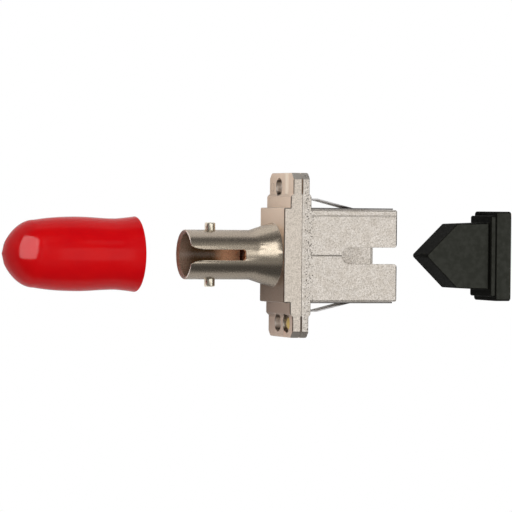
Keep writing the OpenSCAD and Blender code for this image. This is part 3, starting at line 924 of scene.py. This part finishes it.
@dataclass(frozen=True)
class DippedCap:
    """The vinyl cap: one skin turned about the light path, with a rolled lip and a blunt nose.

    Its lengths and radii are in millimetres, from the mouth towards the nose.
    """

    mouth_at: float = -21.78
    length: float = 18.27
    inner: float = 4.36
    wall: float = 0.34
    belly_add: float = 0.2
    lip_add: float = 0.33
    lip_share: float = 0.8
    lip_power: float = 1.4
    lip_points: int = 13
    shoulder_cut: float = 0.45
    shoulder_share: float = 0.6
    throat_at: float = 3.0
    belly_at: float = 8.1
    nose_length: float = 4.3
    nose_thickness: float = 0.9
    nose_power: float = 0.62
    shoulder_power: float = 2.2
    spacing_power: float = 0.7
    stations: int = 210
    turns: int = 192

    def outer_radius(self, depth: np.ndarray) -> np.ndarray:
        """Work out the outside of the cap.

        A lip that falls as a power of the distance to the throat, a cosine swell from the throat to
        the belly, a power curve down to the shoulder, and a sine raised to a small power for the nose.

        Args:
            depth: Distances from the mouth, in millimetres.

        Returns:
            The radius at each distance, in millimetres.
        """
        throat = self.inner + self.wall
        shoulder_at = self.length - self.nose_length
        lip = throat + self.lip_add * np.clip(1 - depth / self.throat_at, 0, 1) ** self.lip_power
        swell = np.clip((depth - self.throat_at) / (self.belly_at - self.throat_at), 0, 1)
        fall = np.clip((depth - self.belly_at) / (shoulder_at - self.belly_at), 0, 1)
        body = lip + self.belly_add * (1 - np.cos(np.pi * swell)) / 2
        body = body - self.shoulder_cut * fall**self.shoulder_power
        nose = np.sin(np.pi / 2 * np.clip((self.length - depth) / self.nose_length, 0, 1)) ** self.nose_power
        return body * nose

    def inner_radius(self, depth: np.ndarray) -> np.ndarray:
        """Work out the inside of the cap, which follows the outside at a share of its lip and shoulder.

        Args:
            depth: Distances from the mouth, in millimetres.

        Returns:
            The radius at each distance, in millimetres.
        """
        shoulder_at = self.length - self.nose_length
        end = self.length - self.nose_thickness
        lip = self.lip_add * self.lip_share * np.clip(1 - depth / self.throat_at, 0, 1) ** self.lip_power
        fall = np.clip((depth - self.belly_at) / (shoulder_at - self.belly_at), 0, 1)
        body = self.inner + lip - self.shoulder_cut * self.shoulder_share * fall**self.shoulder_power
        nose = np.sin(np.pi / 2 * np.clip((end - depth) / (end - shoulder_at), 0, 1)) ** self.nose_power
        return body * nose

    def profile(self) -> np.ndarray:
        """Lay out the skin's section as one path from the nose round the lip to the inside of the nose.

        The stations lie closer together towards the nose, as a power of the sine of a quarter turn,
        and the lip between the two walls is half an ellipse.

        Returns:
            Points of (distance from the mouth, radius) in millimetres, in order.
        """
        ease = np.sin(np.pi / 2 * np.linspace(0, 1, self.stations)) ** self.spacing_power
        lip_r = (self.outer_radius(np.zeros(1)) - self.inner_radius(np.zeros(1)))[0] / 2
        outside_depth = self.length - (self.length - lip_r) * ease
        inside_depth = lip_r + (self.length - self.nose_thickness - lip_r) * (1 - ease[::-1])
        outside = np.stack([outside_depth, self.outer_radius(outside_depth)], axis=1)
        inside = np.stack([inside_depth, self.inner_radius(inside_depth)], axis=1)
        centre = (outside[-1, 1] + inside[0, 1]) / 2
        half = (outside[-1, 1] - inside[0, 1]) / 2
        angle = np.linspace(0, np.pi, self.lip_points)[1:-1]
        lip = np.stack([lip_r * (1 - np.sin(angle)), centre + half * np.cos(angle)], axis=1)
        path = np.concatenate([outside, lip, inside])
        path[0, 1] = 0.0
        path[-1, 1] = 0.0
        return path

    def build(self, finish: bpy.types.Material) -> bpy.types.Object:
        """Turn the section about the light path and close both poles.

        Args:
            finish: The cap's material.

        Returns:
            The cap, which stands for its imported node.
        """
        path = self.profile()
        angle = np.linspace(0, 2 * np.pi, self.turns, endpoint=False)
        points = np.stack(
            [
                np.repeat((self.mouth_at - path[:, 0])[:, None], self.turns, axis=1),
                path[:, 1:2] * np.cos(angle)[None, :],
                path[:, 1:2] * np.sin(angle)[None, :],
            ],
            axis=2,
        )
        piece = grid_piece("bayonet_dust_cap_dipped", points * MM, finish)
        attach(piece, Body.DUST_CAP.value)
        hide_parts("bayonet_dust_cap")
        return piece


def grid_piece(
    name: str, points: np.ndarray, finish: bpy.types.Material, merge_mm: float = 0.0001
) -> bpy.types.Object:
    """Make a piece from a grid of points whose second direction closes on itself.

    Each face joins two neighbouring points of one row to the same two of the next row. Points that
    coincide at a pole are merged, so that the skin is closed there.

    Args:
        name: The piece's name.
        points: An array of (rows, columns, 3) points in metres.
        finish: The piece's material.
        merge_mm: How close two points lie that become one, in millimetres.

    Returns:
        The new piece, at the origin.
    """
    rows, columns = points.shape[:2]
    first = np.arange(rows * columns).reshape(rows, columns)
    after = np.roll(first, -1, axis=1)
    faces = np.stack([first[:-1], after[:-1], after[1:], first[1:]], axis=2).reshape(-1, 4)
    mesh = bpy.data.meshes.new(name)
    mesh.from_pydata(points.reshape(-1, 3).tolist(), [], faces.tolist())
    work = bmesh.new()
    work.from_mesh(mesh)
    bmesh.ops.remove_doubles(work, verts=work.verts, dist=merge_mm * MM)
    bmesh.ops.recalc_face_normals(work, faces=work.faces)
    work.to_mesh(mesh)
    work.free()
    mesh.polygons.foreach_set("use_smooth", np.ones(len(mesh.polygons), dtype=bool))
    mesh.materials.append(finish)
    piece = bpy.data.objects.new(name, mesh)
    bpy.context.scene.collection.objects.link(piece)
    return piece


@dataclass(frozen=True)
class PictureCamera:
    """The camera that was fitted to the photograph's own picture of the flange and the body."""

    place: Point = (-0.15880, 0.00572, 0.42509)
    backward: Point = (-0.34992, 0.0126, 0.93669)
    right: Point = (0.936768, 0.009840, 0.349813)
    up: Point = (-0.004811, 0.999872, -0.015242)
    focal_px: float = 3379.1
    origin_right_px: float = 33.7
    origin_up_px: float = 1.05
    picture_px: float = 512.0
    sensor_mm: float = 36.0
    nearest: float = 0.01
    farthest: float = 20.0

    def build(self) -> bpy.types.Object:
        """Aim the camera so that the origin lands where the photograph shows it.

        Returns:
            The scene's camera.
        """
        aim = -self.focal_px * Vector(self.backward)
        aim -= self.origin_right_px * Vector(self.right) + self.origin_up_px * Vector(self.up)
        back = -aim.normalized()
        side = Vector(self.right)
        side = (side - side.dot(back) * back).normalized()
        top = back.cross(side)
        lens = bpy.data.cameras.new("picture_camera")
        lens.sensor_width = self.sensor_mm
        lens.lens = self.focal_px / self.picture_px * self.sensor_mm
        lens.clip_start = self.nearest
        lens.clip_end = self.farthest
        camera = bpy.data.objects.new("picture_camera", lens)
        turn = Matrix((side, top, back)).transposed().to_4x4()
        camera.matrix_world = Matrix.Translation(Vector(self.place)) @ turn
        bpy.context.scene.collection.objects.link(camera)
        bpy.context.scene.camera = camera
        return camera


@dataclass(frozen=True)
class SoftLamp:
    """One oblong area lamp of an even radiance, which faces a point and may light one piece only."""

    name: str
    place: Point
    size: Span
    radiance: float
    faces: Point = (0.0, 0.0, 0.0)
    roll_deg: float = 0.0
    in_gloss: bool = True
    in_matte: bool = True
    only_on: str = ""

    def build(self, pieces: dict[str, bpy.types.Object]) -> bpy.types.Object:
        """Hang the lamp; its power is pi times its radiance times its area.

        Args:
            pieces: The finished pieces by the node that each one stands for.

        Returns:
            The lamp.
        """
        width, height = self.size
        light = bpy.data.lights.new(self.name, "AREA")
        light.shape = "RECTANGLE"
        light.size = width
        light.size_y = height
        light.energy = math.pi * self.radiance * width * height
        lamp = bpy.data.objects.new(self.name, light)
        lamp.rotation_mode = "QUATERNION"
        aim = (Vector(self.place) - Vector(self.faces)).to_track_quat("Z", "Y")
        lamp.rotation_quaternion = aim @ Quaternion((0.0, 0.0, 1.0), math.radians(self.roll_deg))
        lamp.location = self.place
        lamp.visible_camera = False
        lamp.visible_glossy = self.in_gloss
        lamp.visible_diffuse = self.in_matte
        if self.only_on:
            lit = bpy.data.collections.new(f"{self.name}_lights_only")
            lit.objects.link(pieces[self.only_on])
            lamp.light_linking.receiver_collection = lit
        bpy.context.scene.collection.objects.link(lamp)
        return lamp


@dataclass(frozen=True)
class Studio:
    """The white table, the light tent round it and its lamps.

    The tent's heights run from 0 at the horizon to 1 overhead.
    """

    table_z_mm: float = -5.04
    table_half: float = 3.0
    paper: Colour = (0.88, 0.88, 0.88)
    mirrored_glow: float = 0.12
    horizon: float = 0.32
    belt: float = 0.14
    overhead: float = 0.20
    belt_start: Span = (0.06, 0.16)
    belt_end: Span = (0.50, 0.80)

    def table_finish(self) -> bpy.types.Material:
        """Return the table's material, which is paper to the light and white to the eye.

        It glows white where the camera sees it, straight or through something clear, and a little
        where metal mirrors it. Seen from below it is clear.

        Returns:
            The material.
        """
        material = bpy.data.materials.new("white_table")
        material.use_nodes = True
        tree = material.node_tree
        tree.nodes.clear()
        output = tree.nodes.new("ShaderNodeOutputMaterial")
        path = tree.nodes.new("ShaderNodeLightPath").outputs
        geometry = tree.nodes.new("ShaderNodeNewGeometry")
        paper = tree.nodes.new("ShaderNodeBsdfDiffuse")
        feed(tree, self.paper, paper.inputs["Color"])
        glow = tree.nodes.new("ShaderNodeEmission")
        feed(tree, WHITE, glow.inputs["Color"])
        clear = tree.nodes.new("ShaderNodeBsdfTransparent")
        seen = reckon(tree, "MAXIMUM", path["Is Camera Ray"], path["Is Transmission Ray"])
        lit = reckon(tree, "MULTIPLY_ADD", path["Is Glossy Ray"], self.mirrored_glow, seen)
        above = mix_shaders(tree, lit, paper.outputs[0], glow.outputs[0])
        under = reckon(tree, "MULTIPLY", geometry.outputs["Backfacing"], path["Is Camera Ray"])
        feed(tree, mix_shaders(tree, under, above, clear.outputs[0]), output.inputs["Surface"])
        return material

    def build_table(self) -> bpy.types.Object:
        """Lay the white table, which keeps the object's shadow and is clear from below.

        Returns:
            The table.
        """
        half, z = self.table_half, self.table_z_mm * MM
        mesh = bpy.data.meshes.new("table")
        corners = [(-half, -half, z), (half, -half, z), (half, half, z), (-half, half, z)]
        mesh.from_pydata(corners, [], [(0, 1, 2, 3)])
        mesh.materials.append(self.table_finish())
        table = bpy.data.objects.new("table", mesh)
        bpy.context.scene.collection.objects.link(table)
        return table

    def build_tent(self) -> bpy.types.World:
        """Light the tent: white to the camera, and to the object pale but for a darker belt.

        Returns:
            The world.
        """
        world = bpy.data.worlds.new("light_tent")
        world.use_nodes = True
        tree = world.node_tree
        background = tree.nodes["Background"]
        place = tree.nodes.new("ShaderNodeTexCoord")
        parts = tree.nodes.new("ShaderNodeSeparateXYZ")
        feed(tree, place.outputs["Generated"], parts.inputs[0])
        ramp = tree.nodes.new("ShaderNodeValToRGB")
        ramp.color_ramp.interpolation = "EASE"
        stops = (
            (0.0, self.horizon),
            (self.belt_start[0], self.horizon),
            (self.belt_start[1], self.belt),
            (self.belt_end[0], self.belt),
            (self.belt_end[1], self.overhead),
            (1.0, self.overhead),
        )
        ramp.color_ramp.elements[0].position = stops[0][0]
        ramp.color_ramp.elements[1].position = stops[-1][0]
        for position, _ in stops[1:-1]:
            ramp.color_ramp.elements.new(position)
        for element, (_, level) in zip(ramp.color_ramp.elements, stops):
            element.color = (level, level, level, 1.0)
        feed(tree, parts.outputs["Z"], ramp.inputs[0])
        path = tree.nodes.new("ShaderNodeLightPath")
        shown = mix_colours(tree, path.outputs["Is Camera Ray"], ramp.outputs[0], WHITE)
        feed(tree, shown, background.inputs["Color"])
        background.inputs["Strength"].default_value = 1.0
        bpy.context.scene.world = world
        return world

    def lamps(self) -> tuple[SoftLamp, ...]:
        """Return the lamps of the tent and the two small ones by the object.

        The first three are panels that show in gloss too: one overhead, one for the barrel's cone
        and one for the ears. The key and the fill only light what is matt. The small lamps light
        the bore's floor and draw the highlight on the nose of the cap, one piece each.

        Returns:
            The lamps in order.
        """
        return (
            SoftLamp("top_panel", (0.245, 0.0, 0.658), (0.46, 0.44), radiance=1.0),
            SoftLamp("flare_panel", (-0.145, 0.28, 0.62), (0.17, 0.62), radiance=1.7, roll_deg=-27.0),
            SoftLamp("brow_panel", (0.245, 0.40, 0.52), (0.16, 0.14), radiance=0.7),
            SoftLamp("key_lamp", (-0.10, 0.66, 0.58), (0.42, 0.42), radiance=2.3, in_gloss=False),
            SoftLamp("fill_lamp", (0.05, -0.05, 0.80), (0.90, 0.90), radiance=1.4, in_gloss=False),
            SoftLamp(
                "bore_lamp",
                (-0.0075, 0.0, 0.0062),
                (0.003, 0.002),
                radiance=17.0,
                faces=(-0.0076, 0.0, 0.0),
                in_gloss=False,
                only_on="bayonet_housing",
            ),
            SoftLamp(
                "nose_lamp",
                (-0.04534, 0.00517, 0.01172),
                (0.0215, 0.0190),
                radiance=11.5,
                faces=(-0.03729, 0.00089, 0.00391),
                roll_deg=17.0,
                in_matte=False,
                only_on="bayonet_dust_cap",
            ),
        )


def softened_nodes() -> tuple[SoftenedNode, ...]:
    """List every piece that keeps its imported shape, with how far its edges are rounded.

    Returns:
        The pieces in order.
    """
    coupler = Body.COUPLER
    return (
        SoftenedNode("bayonet_housing", coupler, Slot.CAST_NICKEL, 0.05),
        SoftenedNode("socket_housing", coupler, Slot.CAST_NICKEL, 0.03),
        SoftenedNode("upper_bayonet_lug", coupler, Slot.LUG_BRASS, 0.04),
        SoftenedNode("lower_bayonet_lug", coupler, Slot.LUG_BRASS, 0.04),
        SoftenedNode("alignment_sleeve", coupler, Slot.SLEEVE_CERAMIC, 0.05),
        SoftenedNode("latch_insert", coupler, Slot.INSERT_PLASTIC, 0.06),
        SoftenedNode("panel_clip", coupler, Slot.CLIP_STEEL, 0.04),
        SoftenedNode("upper_rivet", coupler, Slot.CAST_NICKEL, 0.03),
        SoftenedNode("lower_rivet", coupler, Slot.LUG_BRASS, 0.03),
        SoftenedNode("socket_dust_plug", Body.DUST_PLUG, Slot.PLUG_RUBBER, 0.18, steps=4),
    )


def main() -> None:
    logging.basicConfig(level=logging.INFO, format="%(message)s")
    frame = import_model()
    PictureCamera().build()
    studio = Studio()
    studio.build_table()
    studio.build_tent()
    bpy.context.scene.view_settings.view_transform = "Standard"

    finishes = {
        Slot.CAST_NICKEL: CastNickel().dress(),
        Slot.LUG_BRASS: LugBrass().dress(),
        Slot.SLEEVE_CERAMIC: SleeveCeramic().dress(),
        Slot.INSERT_PLASTIC: InsertPlastic().dress(),
        Slot.CLIP_STEEL: ClipSteel().dress(),
        Slot.CAP_VINYL: CapVinyl().dress(),
        Slot.PLUG_RUBBER: PlugRubber().dress(),
    }
    pieces = {
        part.node: part.build(frame["nodes"][part.node], finishes[part.slot]) for part in softened_nodes()
    }
    pieces["bayonet_dust_cap"] = DippedCap().build(finishes[Slot.CAP_VINYL])
    for piece in pieces.values():
        LOG.info("%s: %d faces", piece.name, len(piece.data.polygons))
    for lamp in studio.lamps():
        lamp.build(pieces)
        LOG.info("lamp %s", lamp.name)


if __name__ == "__main__":
    main()
